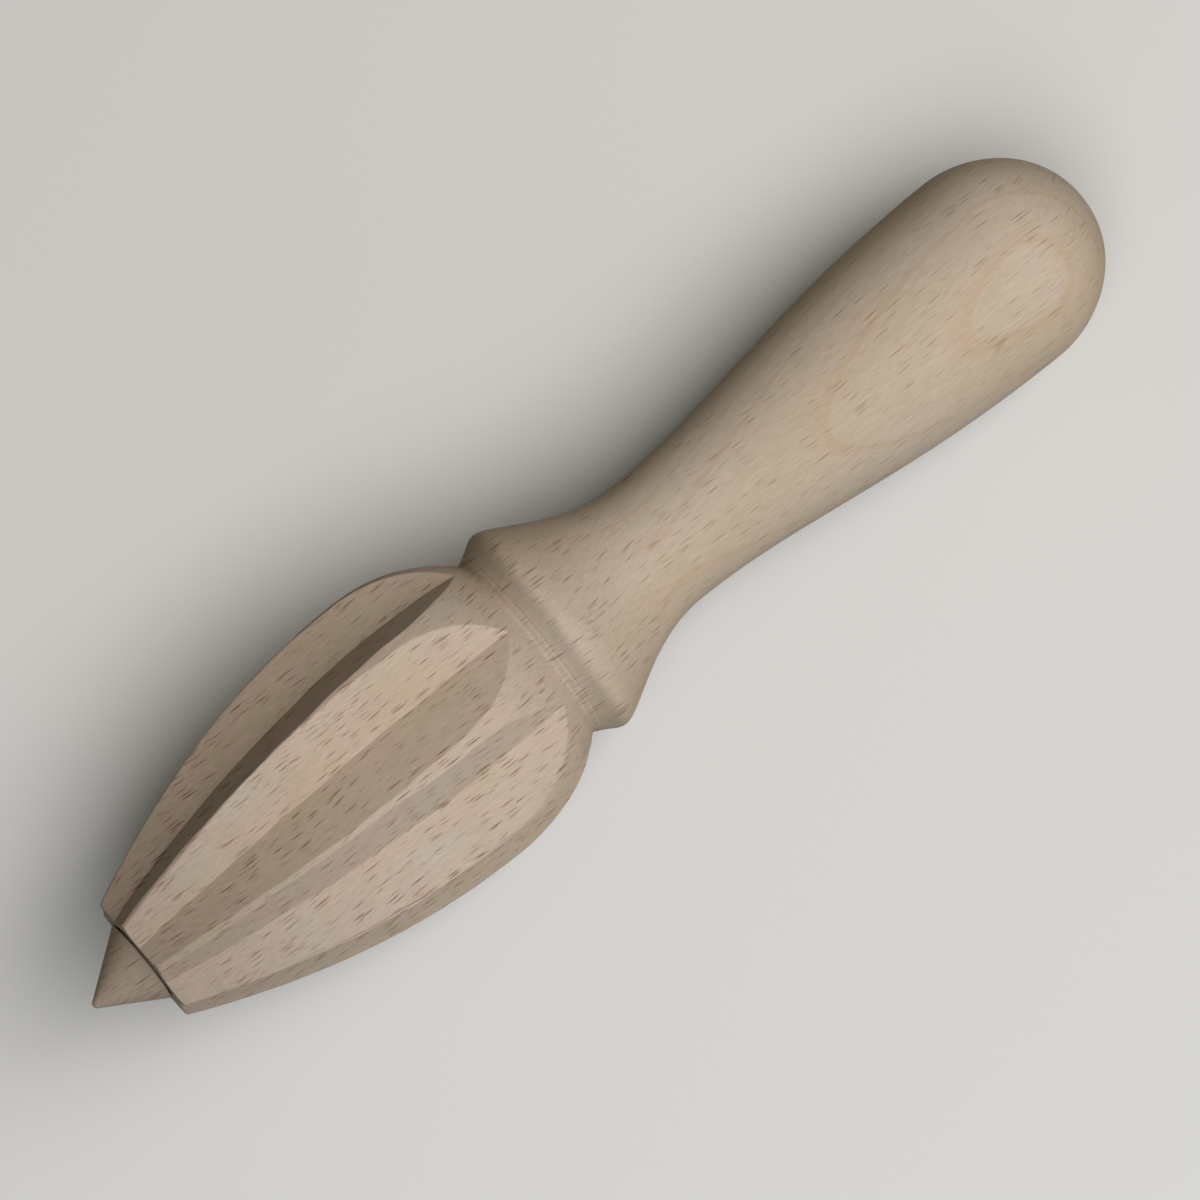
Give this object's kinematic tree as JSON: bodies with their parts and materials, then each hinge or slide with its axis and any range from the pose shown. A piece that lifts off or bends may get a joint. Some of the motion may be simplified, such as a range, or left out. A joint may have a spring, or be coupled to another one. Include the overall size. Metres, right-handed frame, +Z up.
{
  "type": "citrus reamer",
  "caption": "Handheld wooden citrus reamer, turned in one piece: fluted ogive head with a small piercing tip, a notched collar, a narrow waist and a swelling round-ended handle.",
  "frame": {"origin": "centre of the bounding box's bottom face, on the table that the reamer lies on", "axes": "+X along the tool from the piercing tip to the handle's end, +Z up, lying as it rests on two ridges of the head and the swelling of the handle"},
  "size_m": [0.1648, 0.038, 0.038],
  "materials": {
    "beech": "bare beech, sanded smooth and unvarnished, matt"
  },
  "bodies": {
    "root": {"reamer": "beech"}
  },
  "joints": []
}
